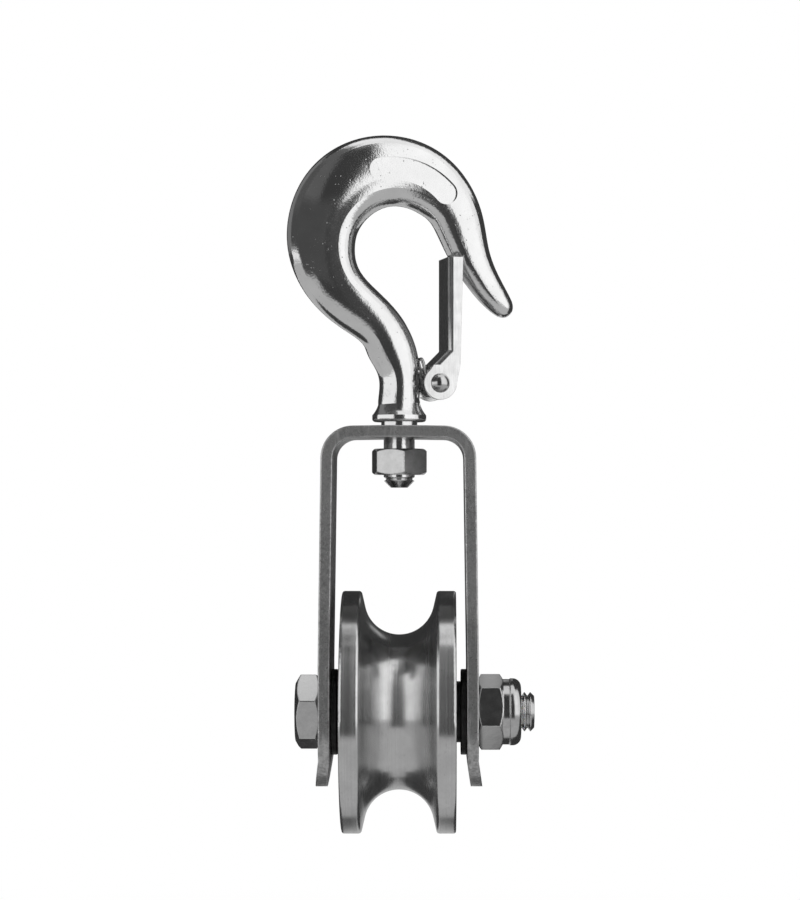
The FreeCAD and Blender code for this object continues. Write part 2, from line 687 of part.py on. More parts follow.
def make_bracket():
    """The bracket: a flat strip bent to a U, with rounded leg ends that kick out a little."""
    body = new_body("bracket")
    shoulder = "bracket_shoulder_half"
    bow_radius = f"(({shoulder}^2 + bracket_bow^2) / (2 * bracket_bow))"
    top = "0 - bracket_top - bracket_bow"
    under_half = f"({shoulder} - strip_metal)"
    under = f"(sqrt(({bow_radius} - strip_metal)^2 - {under_half}^2) - {bow_radius} - bracket_top)"
    leg = "leg_gap_half + strip_metal"
    straight_from = "0 - axle_drop + washer_wide / 2 + leg_flat_above"
    straight_to = "0 - axle_drop - washer_wide / 2 - leg_flat_below"
    tip = "0 - axle_drop - leg_end_drop"
    outer = [(shoulder, top), (leg, straight_from), (leg, straight_to), (f"{leg} + leg_kick", tip)]
    inner = [("leg_gap_half + leg_kick", tip), ("leg_gap_half", straight_to),
             ("leg_gap_half", straight_from), (under_half, under)]
    right = outer + inner
    left = [(f"0 - ({across})", up) for across, up in reversed(right)]
    profile = new_sketch(body, "strip_profile", FRONT_VIEW)
    # The strip's top bows up a little between the two bends
    under_side = len(right) - 1
    top_side = 2 * len(right) - 1
    outline(profile, right + left,
            {under_side: f"{bow_radius} - strip_metal", top_side: f"0 - {bow_radius}"})
    strip = pad(body, profile, "strip", "strip_wide", both=True)

    def corner(level):
        def test(middle, edge):
            side = abs(edge.BoundBox.YLength - value("strip_wide")) < 0.01
            return side and abs(middle.z - value(level)) < 0.01 and abs(middle.x) > 5
        return test

    bent = soften(body, strip, "outer_bend", "bracket_bend_inner + strip_metal", corner(top))
    bent = soften(body, bent, "inner_bend", "bracket_bend_inner", corner(under))
    doc.recompute()

    tip_level = value(tip)
    side = value("strip_wide / 2")

    def leg_corner(spot, _):
        return abs(spot.z - tip_level) < 0.01 and abs(abs(spot.y) - side) < 0.01

    soften(body, bent, "leg_ends", "(strip_wide - leg_end_flat) / 2", leg_corner)
    doc.recompute()
    swivel = new_sketch(body, "swivel_hole_profile", TOP_VIEW)
    ring(swivel, "shank_wide + 2 * swivel_gap")
    pocket(body, swivel, "swivel_hole", "bracket_top + strip_metal + 1")
    axle = new_sketch(body, "axle_hole_profile", SIDE_VIEW)
    ring(axle, "axle_wide + 2 * axle_hole_gap", "0", "0 - axle_drop")
    holes = pocket(body, axle, "axle_holes", f"4 * ({leg})", both=True)
    doc.recompute()
    round_level = value(f"{tip} + strip_wide / 2")

    def sheared(spot, _):
        return abs(abs(spot.y) - side) < 0.01 and spot.z > round_level

    soften(body, holes, "sheared_edges", "leg_edge", sheared)
    return body


def along_x(label, at="0"):
    """A body on the axle, drawn with the axle as its X axis."""
    return new_body(label, across=at, up="0 - axle_drop")


def tube(label, at, thick, outer, inner, edge=None, mirror=False):
    """A plain turned ring on the axle that runs outwards from a place on it."""
    body = along_x(label, at)
    profile = new_sketch(body, f"{label}_profile", FRONT_VIEW)
    far = f"0 - ({thick})" if mirror else thick
    low = f"({inner}) / 2"
    high = f"({outer}) / 2"
    points = [("0", low), (far, low), (far, high), ("0", high)]
    if mirror:
        points.reverse()
    outline(profile, points)
    solid = turn_about(body, profile, f"{label}_solid", "H_Axis")
    if edge is not None:
        reach_out = value(high)
        soften(body, solid, f"{label}_edges", edge,
               lambda middle, rim: abs(math.hypot(middle.y, middle.z) - reach_out) < 0.01
               and rim.Length > reach_out)
    return body


def make_bolt():
    """The axle bolt: hexagon head on the left, thread end on the right."""
    head_face = "0 - leg_gap_half - strip_metal"
    body = new_body("axle_bolt", across=head_face, up="0 - axle_drop")
    face = new_sketch(body, "head_profile", SIDE_VIEW)
    turned = [(f"hex_wide / sqrt(3) * cos({step * 60} - 180 - head_turn)",
               f"hex_wide / sqrt(3) * sin({step * 60} - 180 - head_turn)") for step in range(6)]
    outline(face, turned)
    pad(body, face, "head", "head_tall", back=True)
    doc.recompute()
    bevel_hexagon(body, "head_bevel", "hex_wide", "head_face", "0 - head_tall", "+")
    bevel_hexagon(body, "head_seat_bevel", "hex_wide", "head_seat", "0", "-")
    shank = new_sketch(body, "bolt_shank_profile", FRONT_VIEW)
    outline(shank, [("0", "0"), ("axle_length", "0"), ("axle_length", "axle_wide / 2 - axle_chamfer"),
                    ("axle_length - axle_chamfer", "axle_wide / 2"), ("0", "axle_wide / 2")])
    turn_about(body, shank, "bolt_shank", "H_Axis")
    doc.recompute()
    start = "axle_length - axle_chamfer - axle_pitch * 1.55"
    thread_rings(body, "axle_thread", FRONT_VIEW, "axle_core", "axle_wide", "axle_pitch", start,
                 "thread_turns", True)
    return body


def make_lock_nut():
    """The lock nut: a hexagon with a rounded collar that holds the locking insert."""
    body = new_body("lock_nut", across="leg_gap_half + strip_metal", up="0 - axle_drop")
    face = new_sketch(body, "lock_hexagon", SIDE_VIEW)
    turned = [(f"hex_wide / sqrt(3) * cos({step * 60} - 180 - lock_turn)",
               f"hex_wide / sqrt(3) * sin({step * 60} - 180 - lock_turn)") for step in range(6)]
    outline(face, turned)
    pad(body, face, "lock_hex", "lock_hex_tall")
    doc.recompute()
    bevel_hexagon(body, "lock_seat_bevel", "hex_wide", "lock_seat", "0", "+")
    bevel_hexagon(body, "lock_face_bevel", "hex_wide", "lock_face", "lock_hex_tall", "-")
    dome = new_sketch(body, "lock_dome_profile", FRONT_VIEW)
    rim = "lock_collar_wide / 2"
    waist = "lock_hex_tall + lock_waist_long"
    inner = "insert_wide / 2 - lock_lip_deep"
    outline(dome, [
        ("lock_hex_tall - 1", inner), ("lock_tall", inner),
        ("lock_tall", f"{rim} - lock_collar_round"), ("lock_tall - lock_collar_round", rim),
        (f"{waist} + lock_waist", rim), (waist, f"{rim} - lock_waist"),
        ("lock_hex_tall - 1", f"{rim} - lock_waist"),
    ], {2: "lock_collar_round"})
    turn_about(body, dome, "lock_dome", "H_Axis")
    doc.recompute()
    bore = new_sketch(body, "lock_bore_profile", FRONT_VIEW)
    lip = "lock_tall - lock_lip_thick"
    seat = f"{lip} - insert_tall"
    outline(bore, [
        ("0 - 1", "0"), ("lock_tall + 1", "0"), ("lock_tall + 1", inner), (lip, inner),
        (lip, "insert_wide / 2"), (seat, "insert_wide / 2"), (seat, "axle_wide / 2"),
        ("0 - 1", "axle_wide / 2"),
    ])
    turn_about(body, bore, "lock_bore", "H_Axis", cut=True)
    return body


def make_wheel():
    """The turned wheel: rope groove, rim lands, and a stepped bore for the bearings."""
    body = along_x("wheel")
    half = "wheel_thick / 2"
    rim = "wheel_wide / 2"
    ledge = "wheel_thick / 2 - bearing_thick"
    turn_in = "groove_radius * cos(groove_flare)"
    floor_centre = "groove_floor + groove_radius"
    rise = f"{floor_centre} - groove_radius * sin(groove_flare)"
    mouth = f"{turn_in} + ({rim} - ({rise})) * tan(groove_flare)"
    seat = "bearing_wide / 2"
    profile = new_sketch(body, "wheel_profile", FRONT_VIEW)
    outline(profile, [
        (f"0 - ({half})", seat), (f"0 - ({ledge})", seat),
        (f"0 - ({ledge})", "bore_middle / 2"), (ledge, "bore_middle / 2"),
        (ledge, seat), (half, seat),
        (half, rim), (mouth, rim), (turn_in, rise), ("0", "groove_floor"),
        (f"0 - {turn_in}", rise), (f"0 - ({mouth})", rim), (f"0 - ({half})", rim),
    ], {8: "0 - groove_radius", 9: "0 - groove_radius"})
    solid = turn_about(body, profile, "turned_wheel", "H_Axis")
    doc.recompute()

    def round_edge(radius_text, place_text):
        radius = value(radius_text)
        place = value(place_text)
        return lambda middle, edge: abs(math.hypot(middle.y, middle.z) - radius) < 0.01 \
            and abs(abs(middle.x) - place) < 0.01 and edge.Length > radius

    rounded = soften(body, solid, "rim_edges", "rim_edge", round_edge(rim, half))
    soften(body, rounded, "groove_lips", "rim_lip", round_edge(rim, mouth))
    return body


def make_bearing(side_name, sign):
    """One sealed ball bearing, pressed into the wheel's side and seated on the axle."""
    centre = "wheel_thick / 2 - bearing_thick / 2"
    at = centre if sign > 0 else f"0 - ({centre})"
    half = "bearing_thick / 2"
    track = "(ball_wide / 2 + ball_gap)"
    pitch = f"{BALL_CIRCLE} / 2"
    outer_low = f"({pitch} + race_shoulder)"
    inner_high = f"({pitch} - race_shoulder)"
    bite = f"sqrt({track}^2 - race_shoulder^2)"
    made = []

    outer = along_x(f"{side_name}_bearing_outer_ring", at)
    profile = new_sketch(outer, "outer_ring_profile", FRONT_VIEW)
    seat = "bearing_wide / 2"
    outline(profile, [
        (f"0 - {half}", outer_low), (f"0 - {bite}", outer_low), (bite, outer_low), (half, outer_low),
        (half, f"{seat} - race_edge"), (f"{half} - race_edge", seat),
        (f"race_edge - {half}", seat), (f"0 - {half}", f"{seat} - race_edge"),
    ], {1: f"0 - {track}"})
    turn_about(outer, profile, "outer_ring_solid", "H_Axis")
    made.append(outer)

    inner = along_x(f"{side_name}_bearing_inner_ring", at)
    profile = new_sketch(inner, "inner_ring_profile", FRONT_VIEW)
    bore = "axle_wide / 2"
    outline(profile, [
        (f"0 - {half}", f"{bore} + race_edge"), (f"race_edge - {half}", bore),
        (f"{half} - race_edge", bore), (half, f"{bore} + race_edge"),
        (half, inner_high), (bite, inner_high), (f"0 - {bite}", inner_high), (f"0 - {half}", inner_high),
    ], {5: f"0 - {track}"})
    turn_about(inner, profile, "inner_ring_solid", "H_Axis")
    made.append(inner)

    for seal_name, way in (("outer", sign), ("inner", -sign)):
        far = "bearing_thick / 2 - seal_sunk"
        place = f"{at} + {far}" if way > 0 else f"{at} - ({far})"
        made.append(tube(f"{side_name}_bearing_{seal_name}_seal", place, "seal_thick",
                         f"2 * {outer_low}", f"2 * ({inner_high} + seal_gap)", mirror=way > 0))

    balls = doc.addObject("Part::Feature", f"{side_name}_bearing_balls")
    balls.Label = f"{side_name}_bearing_balls"
    cage = doc.addObject("Part::Feature", f"{side_name}_bearing_cage")
    cage.Label = f"{side_name}_bearing_cage"
    count = int(value("ball_count"))
    spots = []
    for step in range(count):
        angle = 2 * math.pi * step / count
        spots.append(Vector(0, value(pitch) * math.sin(angle), value(pitch) * math.cos(angle)))
    radius = value("ball_wide / 2")
    balls.Shape = Part.makeCompound([Part.makeSphere(radius, spot) for spot in spots])
    thick = value("cage_thick")
    tall = value("cage_tall")
    drum = Part.makeCylinder(value(pitch) + thick / 2, tall, Vector(-tall / 2, 0, 0), Vector(1, 0, 0))
    core = Part.makeCylinder(value(pitch) - thick / 2, tall, Vector(-tall / 2, 0, 0), Vector(1, 0, 0))
    band = drum.cut(core)
    pocket_radius = radius + value("cage_pocket_gap")
    cutters = [Part.makeSphere(pocket_radius, spot) for spot in spots]
    cage.Shape = band.cut(cutters)
    place = Placement(Vector(value(at), 0, value("0 - axle_drop")), Rotation())
    balls.Placement = place
    cage.Placement = place
    made += [balls, cage]
    return made


parts = [make_hook()]
parts.append(make_nut("shank_nut", "swivel_nut_wide", "swivel_nut_face", "swivel_nut_tall",
                      "shank_wide", "swivel_nut_top", "swivel_nut_turn"))
parts += [make_latch(), make_rivet(), make_spring(), make_bracket(), make_bolt(), make_lock_nut()]
parts.append(tube("lock_nut_insert", "leg_gap_half + strip_metal + lock_tall - lock_lip_thick - insert_tall",
                  "insert_tall", "insert_wide", "axle_wide"))
parts.append(make_wheel())
parts.append(tube("bearing_spacer_tube", "bearing_thick - wheel_thick / 2",
                  "wheel_thick - 2 * bearing_thick", "inner_tube_wide", "axle_wide"))
for side_name, sign in (("left", -1), ("right", 1)):
    parts += make_bearing(side_name, sign)
    start = "wheel_thick / 2" if sign > 0 else "0 - wheel_thick / 2"
    parts.append(tube(f"{side_name}_spacer_ring", start, "spacer_thick", "spacer_wide", "axle_wide",
                      mirror=sign < 0))
    start = f"{start} + spacer_thick" if sign > 0 else f"{start} - spacer_thick"
    parts.append(tube(f"{side_name}_washer", start, "leg_gap_half - wheel_thick / 2 - spacer_thick",
                      "washer_wide", "axle_wide", edge="washer_edge", mirror=sign < 0))

doc.recompute()
faults = [item.Name for item in doc.Objects
          if "Invalid" in item.State or "Error" in item.State]
if faults:
    raise RuntimeError(f"failed objects: {faults}")
for part in parts:
    if part.Shape.isNull() or not part.Shape.isValid():
        raise RuntimeError(f"{part.Label} has no valid shape")

os.makedirs("parts", exist_ok=True)
for part in parts:
    part.Shape.exportStep(f"parts/{part.Label}.step")
    box = part.Shape.BoundBox
    print(f"{part.Label}: {len(part.Shape.Solids)} solids, {part.Shape.Volume:.1f} mm3, "
          f"x {box.XMin:.1f} {box.XMax:.1f}, y {box.YMin:.1f} {box.YMax:.1f}, "
          f"z {box.ZMin:.1f} {box.ZMax:.1f}")
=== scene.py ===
import json
import math

import bpy
from mathutils import Matrix, Vector


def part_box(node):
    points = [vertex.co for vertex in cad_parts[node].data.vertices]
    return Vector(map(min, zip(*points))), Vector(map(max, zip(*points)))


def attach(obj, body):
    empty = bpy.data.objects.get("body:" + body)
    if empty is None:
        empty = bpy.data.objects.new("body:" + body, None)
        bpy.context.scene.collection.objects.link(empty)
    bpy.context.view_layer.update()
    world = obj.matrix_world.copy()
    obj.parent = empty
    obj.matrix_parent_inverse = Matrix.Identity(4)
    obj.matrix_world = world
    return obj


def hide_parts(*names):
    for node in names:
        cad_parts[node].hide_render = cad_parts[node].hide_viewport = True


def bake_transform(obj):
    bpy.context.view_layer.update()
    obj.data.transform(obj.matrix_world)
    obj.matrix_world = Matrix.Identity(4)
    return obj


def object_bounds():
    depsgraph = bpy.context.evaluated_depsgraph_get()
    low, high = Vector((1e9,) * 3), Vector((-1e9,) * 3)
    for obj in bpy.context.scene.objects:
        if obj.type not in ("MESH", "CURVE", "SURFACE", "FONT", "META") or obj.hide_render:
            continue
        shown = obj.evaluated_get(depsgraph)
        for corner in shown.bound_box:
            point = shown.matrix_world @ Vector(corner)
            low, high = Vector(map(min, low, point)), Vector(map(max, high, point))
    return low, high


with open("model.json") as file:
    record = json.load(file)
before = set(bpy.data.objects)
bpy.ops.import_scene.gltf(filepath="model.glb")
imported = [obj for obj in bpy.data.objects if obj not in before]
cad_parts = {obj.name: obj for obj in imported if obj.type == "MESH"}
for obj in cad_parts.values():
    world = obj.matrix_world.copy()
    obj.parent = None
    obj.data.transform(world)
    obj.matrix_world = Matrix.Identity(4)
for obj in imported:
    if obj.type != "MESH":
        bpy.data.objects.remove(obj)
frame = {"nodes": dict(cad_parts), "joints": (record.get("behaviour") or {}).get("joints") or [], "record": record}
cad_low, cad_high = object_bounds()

# Looks of the swivel hook pulley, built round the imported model. Lengths are in metres, +Z is up
# and the photograph looks along +Y. Every finish is worked out from a piece's own coordinates.

MM = 0.001

# The photograph's frame and the scale at the plane of the swivel axis
FRAME_WIDE = 800
FRAME_TALL = 900
PIXEL = 0.2575 * MM
SEAT_PIXEL = (399.25, 206.5)
VANISHING_PIXEL = (440, 500)
CAMERA_AWAY = 0.64
CAMERA_CLIP = 0.01
SENSOR = 36

# The floor under the hanging pulley, and the grey that polished steel sees in its place
FLOOR_DROP = 0.12
FLOOR_HALF = 4.0
FLOOR_SHADE = 0.82
FLOOR_ROUGH = 0.8
FLOOR_FADE = (0.28, 0.7)
FLOOR_CARD_LIFT = 2 * MM
FLOOR_CARD_RADIUS = 1.2
FLOOR_CARD_SHADE = 0.5
FLOOR_CARD_SIDES = 48

# How much of the white world lights the shaded sides
WORLD_FILL = 0.45

# The cells and the soft border of the cards, in degrees round the card's centre
CARD_CELL = 1.5
CARD_SOFT = 4.0
THROAT = (-22 * MM, -4 * MM, -10 * MM)

# Worn edges, painted lighter partly as wear and partly as a painted highlight: how far a normal turns where the
# lighter edge colour starts and where it is full, as a cosine
EDGE_SAMPLES = 6
WEAR_AND_GLINT_START = 0.995
WEAR_AND_GLINT_FULL = 0.86

# The latch spring, in its pivot's own frame: across, out of the hook's plane, up
SPRING_WIRE = 0.9 * MM
SPRING_COIL = 4.5 * MM
SPRING_TURNS = 1.672
SPRING_PITCH = 1.0 * MM
SPRING_OUT = 2.55 * MM
SPRING_LEG = 4.0 * MM
SPRING_NECK = -4.08 * MM
SPRING_BRIDGE = 6.3 * MM
SPRING_CORNER = 1.1 * MM
WIRE_SIDES = 16
COIL_STEPS = 72


class Shading:
    """The nodes of a material or a world, with short calls that add and link them."""

    def __init__(self, owner):
        owner.use_nodes = True
        self.owner = owner
        self.nodes = owner.node_tree.nodes
        self.links = owner.node_tree.links

    def node(self, kind, **settings):
        added = self.nodes.new(kind)
        for name, setting in settings.items():
            setattr(added, name, setting)
        return added

    def feed(self, socket, source):
        """Link a socket, or set it to a plain number or colour."""
        if isinstance(source, bpy.types.NodeSocket):
            self.links.new(source, socket)
        else:
            socket.default_value = source

    def work(self, operation, first, second=None, third=None):
        """One sum of up to three numbers."""
        math_node = self.node("ShaderNodeMath", operation=operation)
        for index, source in enumerate((first, second, third)):
            if source is not None:
                self.feed(math_node.inputs[index], source)
        return math_node.outputs[0]

    def spread(self, source, low, high, start=0.0, end=1.0, smooth=False):
        """Map a value from low..high to start..end."""
        scaled = self.node("ShaderNodeMapRange")
        if smooth:
            scaled.interpolation_type = "SMOOTHSTEP"
        self.feed(scaled.inputs["Value"], source)
        ends = {"From Min": low, "From Max": high, "To Min": start, "To Max": end}
        for name, number in ends.items():
            scaled.inputs[name].default_value = number
        return scaled.outputs["Result"]

    def join(self, share, first, second):
        """Mix two shaders and show the result."""
        mixer = self.node("ShaderNodeMixShader")
        for socket, source in zip(mixer.inputs, (share, first, second)):
            self.feed(socket, source)
        output = next(node for node in self.nodes if node.type.startswith("OUTPUT"))
        self.feed(output.inputs["Surface"], mixer.outputs["Shader"])

    def white_seen(self, white):
        """The share of rays that see a plain white: those of the camera, of gloss and of glass."""
        path = self.node("ShaderNodeLightPath")
        seen = path.outputs["Is Camera Ray"]
        for name in ("Is Glossy Ray", "Is Transmission Ray"):
            seen = self.work("MAXIMUM", seen, path.outputs[name])
        return self.work("MULTIPLY", seen, white)


class Finish(Shading):
    """A material of a piece, with calls for the patterns that the finishes share."""

    def __init__(self, name, metallic, roughness):
        super().__init__(bpy.data.materials.new(name))
        self.shader = self.nodes["Principled BSDF"]
        self.shader.inputs["Metallic"].default_value = metallic
        self.shader.inputs["Roughness"].default_value = roughness
        self.place = self.node("ShaderNodeTexCoord").outputs["Object"]

    def stretch(self, scale, shift=(0, 0, 0)):
        """The piece's coordinates, stretched by a scale for each axis."""
        mapped = self.node("ShaderNodeMapping")
        self.feed(mapped.inputs["Vector"], self.place)
        mapped.inputs["Scale"].default_value = scale
        mapped.inputs["Location"].default_value = shift
        return mapped.outputs["Vector"]

    def noise(self, size, detail=2.0, rough=0.5, place=None, twist=0.0):
        """Noise whose blobs are about the given size."""
        cloud = self.node("ShaderNodeTexNoise")
        self.feed(cloud.inputs["Vector"], place or self.place)
        cloud.inputs["Scale"].default_value = 1 / size
        cloud.inputs["Detail"].default_value = detail
        cloud.inputs["Roughness"].default_value = rough
        cloud.inputs["Distortion"].default_value = twist
        return cloud.outputs["Fac"]

    def cells(self, size, feature="F1", place=None):
        """Distance to the nearest of scattered points that lie about the given size apart."""
        dots = self.node("ShaderNodeTexVoronoi", feature=feature)
        self.feed(dots.inputs["Vector"], place or self.place)
        dots.inputs["Scale"].default_value = 1 / size
        return dots.outputs["Distance"]

    def mix(self, share, first, second):
        """Mix two colours."""
        blender = self.node("ShaderNodeMix", data_type="RGBA")
        colour_sockets = [socket for socket in blender.inputs if socket.type == "RGBA"]
        self.feed(blender.inputs["Factor"], share)
        for socket, colour in zip(colour_sockets, (first, second)):
            self.feed(socket, colour)
        return next(socket for socket in blender.outputs if socket.type == "RGBA")

    def bump(self, height, deep, strength=1.0, over=None):
        """Raise the surface by a height map, on top of an earlier bump."""
        raised = self.node("ShaderNodeBump")
        raised.inputs["Strength"].default_value = strength
        raised.inputs["Distance"].default_value = deep
        self.feed(raised.inputs["Height"], height)
        if over is not None:
            self.feed(raised.inputs["Normal"], over)
        return raised.outputs["Normal"]

    def soft_edge(self, radius):
        """Normals that round a sharp edge off, and how far they turn there: the mask of a lighter edge colour that
        is partly wear and partly a painted highlight.
        """
        rounded = self.node("ShaderNodeBevel", samples=EDGE_SAMPLES)
        rounded.inputs["Radius"].default_value = radius
        flat = self.node("ShaderNodeNewGeometry").outputs["Normal"]
        turned = self.node("ShaderNodeVectorMath", operation="DOT_PRODUCT")
        self.feed(turned.inputs[0], rounded.outputs["Normal"])
        self.feed(turned.inputs[1], flat)
        # Mask of edges painted lighter, partly as wear and partly as a painted highlight
        worn_and_glint = self.spread(turned.outputs["Value"], WEAR_AND_GLINT_START, WEAR_AND_GLINT_FULL, smooth=True)
        return rounded.outputs["Normal"], worn_and_glint

    def finish(self, colour, roughness, normal=None):
        """Feed the shader and hand the material over."""
        self.feed(self.shader.inputs["Base Color"], colour)
        self.feed(self.shader.inputs["Roughness"], roughness)
        if normal is not None:
            self.feed(self.shader.inputs["Normal"], normal)
        return self.owner


def grey(level, warm=0.0):
    """A grey of the given level, warm by a share of it."""
    return (level * (1 + warm), level, level * (1 - warm), 1)


def cast_stainless():
    """Investment cast and tumbled stainless: faint orange peel, sparse pits, duller hollows."""
    steel = Finish("cast_stainless", 1.0, 0.16)
    peel = steel.noise(2.6 * MM, detail=1.0, rough=0.4)
    swell = steel.noise(9 * MM, detail=1)
    grain = steel.noise(0.45 * MM, detail=2)
    where = steel.noise(3.2 * MM, detail=2)
    pits = steel.spread(steel.cells(1.1 * MM), 0.08, 0.2, smooth=True)
    pits = steel.work("MAXIMUM", pits, steel.spread(where, 0.6, 0.5))
    patch = steel.noise(6 * MM, detail=4, rough=0.6)
    shade = steel.mix(steel.spread(patch, 0.35, 0.7), grey(0.74), grey(0.82))
    shade = steel.mix(pits, grey(0.66), shade)
    rough = steel.spread(patch, 0.3, 0.7, 0.1, 0.16)
    rough = steel.work("MAXIMUM", rough, steel.spread(pits, 0.0, 1.0, 0.55, 0.0))
    normal = steel.bump(swell, 0.2 * MM, 0.25)
    normal = steel.bump(peel, 0.03 * MM, 0.6, normal)
    normal = steel.bump(pits, 0.04 * MM, 0.7, normal)
    normal = steel.bump(grain, 0.035 * MM, 0.6, normal)
    return steel.finish(shade, rough, normal)


def bright_fastener():
    """Bright stainless nuts, bolt and rivet: soft edges painted lighter, partly as wear and partly as a painted
    highlight, faint drawing lines and handling marks.
    """
    steel = Finish("bright_fastener", 1.0, 0.16)
    rounded, worn_and_glint = steel.soft_edge(0.35 * MM)
    waves = steel.noise(3.5 * MM, detail=2)
    marks = steel.noise(0.5 * MM, detail=3, place=steel.stretch((1, 1, 0.15)))
    patch = steel.noise(2 * MM, detail=4, rough=0.65)
    shade = steel.mix(steel.spread(patch, 0.35, 0.7), grey(0.52), grey(0.64))
    # Edges painted lighter: partly wear, partly a painted highlight where the chamfers catch the light
    shade = steel.mix(worn_and_glint, shade, grey(0.86))
    rough = steel.spread(patch, 0.3, 0.75, 0.12, 0.22)
    normal = steel.bump(waves, 0.04 * MM, 0.5, rounded)
    normal = steel.bump(marks, 0.003 * MM, 0.6, normal)
    return steel.finish(shade, rough, normal)


def pressed_stainless():
    """Pressed sheet of the latch: fine rolling lines along it and rounded edges, painted brighter partly as wear
    and partly as a painted highlight.
    """
    steel = Finish("pressed_stainless", 1.0, 0.24)
    rounded, worn_and_glint = steel.soft_edge(0.25 * MM)
    lines = steel.noise(0.22 * MM, detail=3, place=steel.stretch((1, 1, 0.05)))
    dents = steel.noise(4 * MM, detail=1.5)
    patch = steel.noise(3 * MM, detail=4)
    shade = steel.mix(steel.spread(patch, 0.35, 0.7), grey(0.76), grey(0.86))
    # Edges painted brighter: partly wear, partly a painted highlight
    shade = steel.mix(worn_and_glint, shade, grey(0.9))
    rough = steel.spread(lines, 0.3, 0.75, 0.16, 0.28)
    normal = steel.bump(dents, 0.05 * MM, 0.5, rounded)
    normal = steel.bump(lines, 0.006 * MM, 0.6, normal)
    return steel.finish(shade, rough, normal)


def spring_wire():
    """Drawn spring wire, slightly dull, with fine scratches."""
    steel = Finish("spring_wire", 1.0, 0.28)
    scratches = steel.noise(0.15 * MM, detail=3)
    patch = steel.noise(1.2 * MM, detail=2)
    shade = steel.mix(steel.spread(patch, 0.3, 0.7), grey(0.5), grey(0.62))
    rough = steel.spread(patch, 0.3, 0.7, 0.22, 0.36)
    return steel.finish(shade, rough, steel.bump(scratches, 0.01 * MM, 0.6))


def mill_steel():
    """Hot rolled strip of the bracket: dull mottled mill skin and scraped corners, painted brighter partly as wear
    and partly as a painted highlight.
    """
    steel = Finish("mill_steel", 0.9, 0.45)
    rounded, worn_and_glint = steel.soft_edge(0.4 * MM)
    mottle = steel.noise(0.9 * MM, detail=5, rough=0.7, twist=0.4)
    clouds = steel.noise(14 * MM, detail=3)
    pits = steel.spread(steel.cells(0.9 * MM), 0.05, 0.3, smooth=True)
    grain = steel.noise(0.25 * MM, detail=3)
    scrape = steel.noise(1.1 * MM, detail=3, place=steel.stretch((1, 1, 0.12)))
    shade = steel.mix(steel.spread(mottle, 0.36, 0.64), grey(0.26), grey(0.52))
    shade = steel.mix(steel.spread(clouds, 0.4, 0.65, 0.0, 0.35), shade, grey(0.55))
    shade = steel.mix(steel.spread(scrape, 0.58, 0.7, 0.0, 0.7), shade, grey(0.62))
    # Corners painted brighter: partly scraped wear, partly a painted highlight
    shade = steel.mix(steel.work("MULTIPLY", worn_and_glint, 0.7), shade, grey(0.7))
    rough = steel.spread(mottle, 0.3, 0.7, 0.4, 0.24)
    normal = steel.bump(mottle, 0.05 * MM, 0.6, rounded)
    normal = steel.bump(pits, 0.03 * MM, 0.5, normal)
    normal = steel.bump(grain, 0.01 * MM, 0.6, normal)
    return steel.finish(shade, rough, normal)


def turned_steel(axle_up):
    """Lathe turned wheel: fine rings round the axle, a few deeper ones, and softened rims, painted lighter partly
    as wear and partly as a painted highlight.
    """
    steel = Finish("turned_steel", 1.0, 0.25)
    rounded, worn_and_glint = steel.soft_edge(0.45 * MM)
    parts = steel.node("ShaderNodeSeparateXYZ")
    steel.feed(parts.inputs["Vector"], steel.place)
    rise = steel.work("SUBTRACT", parts.outputs["Z"], axle_up)
    radius = steel.work("SQRT", steel.work(
        "ADD", steel.work("MULTIPLY", rise, rise),
        steel.work("MULTIPLY", parts.outputs["Y"], parts.outputs["Y"])))
    # Rings lie where across plus radius is the same, so faces, rims and groove all carry them
    ring_place = steel.node("ShaderNodeCombineXYZ")
    steel.feed(ring_place.inputs["X"], parts.outputs["X"])
    steel.feed(ring_place.inputs["Y"], radius)
    fine = steel.noise(0.16 * MM, detail=2, rough=0.6, place=ring_place.outputs["Vector"])
    broad = steel.noise(1.3 * MM, detail=2, place=ring_place.outputs["Vector"])
    patch = steel.noise(7 * MM, detail=4, rough=0.6)
    specks = steel.noise(0.7 * MM, detail=3)
    shade = steel.mix(steel.spread(patch, 0.35, 0.7), grey(0.62), grey(0.74))
    shade = steel.mix(steel.spread(fine, 0.35, 0.7, 0.0, 0.3), shade, grey(0.5))
    shade = steel.mix(steel.spread(specks, 0.62, 0.75, 0.0, 0.4), shade, grey(0.38))
    # Rims painted lighter: partly wear, partly a painted highlight
    shade = steel.mix(worn_and_glint, shade, grey(0.85))
    rough = steel.spread(broad, 0.3, 0.7, 0.2, 0.28)
    normal = steel.bump(fine, 0.002 * MM, 0.7, rounded)
    normal = steel.bump(broad, 0.004 * MM, 0.5, normal)
    turned = steel.node("ShaderNodeTangent", direction_type="RADIAL", axis="X")
    steel.shader.inputs["Anisotropic"].default_value = 0.75
    steel.shader.inputs["Anisotropic Rotation"].default_value = 0.25
    steel.feed(steel.shader.inputs["Tangent"], turned.outputs["Tangent"])
    return steel.finish(shade, rough, normal)


def black_steel():
    """Black oxide washers and spacers: matt, with rubbed edges, painted lighter partly as wear and partly as a
    painted highlight.
    """
    steel = Finish("black_steel", 0.75, 0.42)
    rounded, worn_and_glint = steel.soft_edge(0.2 * MM)
    patch = steel.noise(1.5 * MM, detail=4)
    shade = steel.mix(steel.spread(patch, 0.3, 0.7), grey(0.018), grey(0.05))
    # Edges painted lighter: partly rubbed wear, partly a painted highlight
    shade = steel.mix(steel.work("MULTIPLY", worn_and_glint, 0.5), shade, grey(0.22))
    rough = steel.spread(patch, 0.3, 0.7, 0.36, 0.5)
    return steel.finish(shade, rough, steel.bump(patch, 0.02 * MM, 0.6, rounded))


